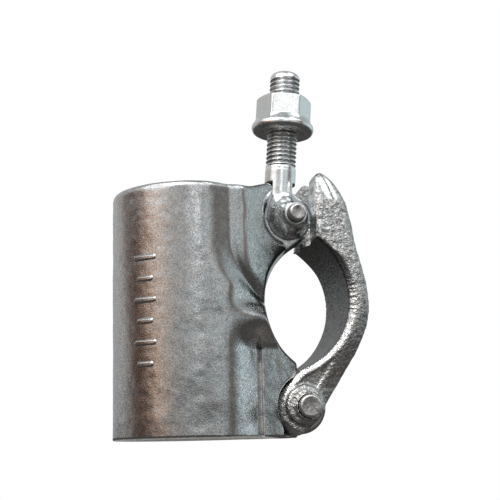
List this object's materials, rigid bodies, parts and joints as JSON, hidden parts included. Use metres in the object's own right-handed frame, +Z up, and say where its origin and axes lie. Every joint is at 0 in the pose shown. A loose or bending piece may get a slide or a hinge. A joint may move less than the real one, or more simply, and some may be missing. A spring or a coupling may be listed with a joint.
{
  "type": "scaffold coupler",
  "caption": "Forged steel coupler: a round tube sleeve with a hinged cap closed by a swing bolt and flange nut, joining two scaffold tubes at right angles.",
  "frame": {"origin": "centre of the assembly's footprint at the level of the sleeve's underside", "axes": "+Z up along the sleeve axis, +X from the sleeve towards the hinged cap, Y along the crossing tube's axis"},
  "size_m": [0.0882, 0.056, 0.1355],
  "materials": {
    "forged_zinc": "satin zinc plate over forged steel",
    "coarse_zinc": "coarse satin zinc plate",
    "bright_zinc": "bright zinc plate",
    "pin_steel": "dull riveted steel"
  },
  "bodies": {
    "body": {"sleeve_body": "forged_zinc"},
    "cap": {"hinged_cap": "coarse_zinc", "hinge_rivet": "pin_steel"},
    "bolt": {"swing_bolt": "bright_zinc", "bolt_rivet": "pin_steel"},
    "nut": {"flange_nut": "bright_zinc"}
  },
  "joints": [
    {"name": "cap_hinge", "type": "hinge", "parent": "body", "child": "cap", "pos_m": [0.0211, 0, 0.0105], "axis": [0, 1, 0], "range_deg": [0, 115]},
    {"name": "bolt_swing", "type": "hinge", "parent": "body", "child": "bolt", "pos_m": [0.0189, 0, 0.078], "axis": [0, 1, 0], "range_deg": [-4, 92]},
    {"name": "nut_travel", "type": "slide", "parent": "bolt", "child": "nut", "axis": [0.0767, 0, 0.9971], "range_m": [-0.008, 0.009]}
  ]
}
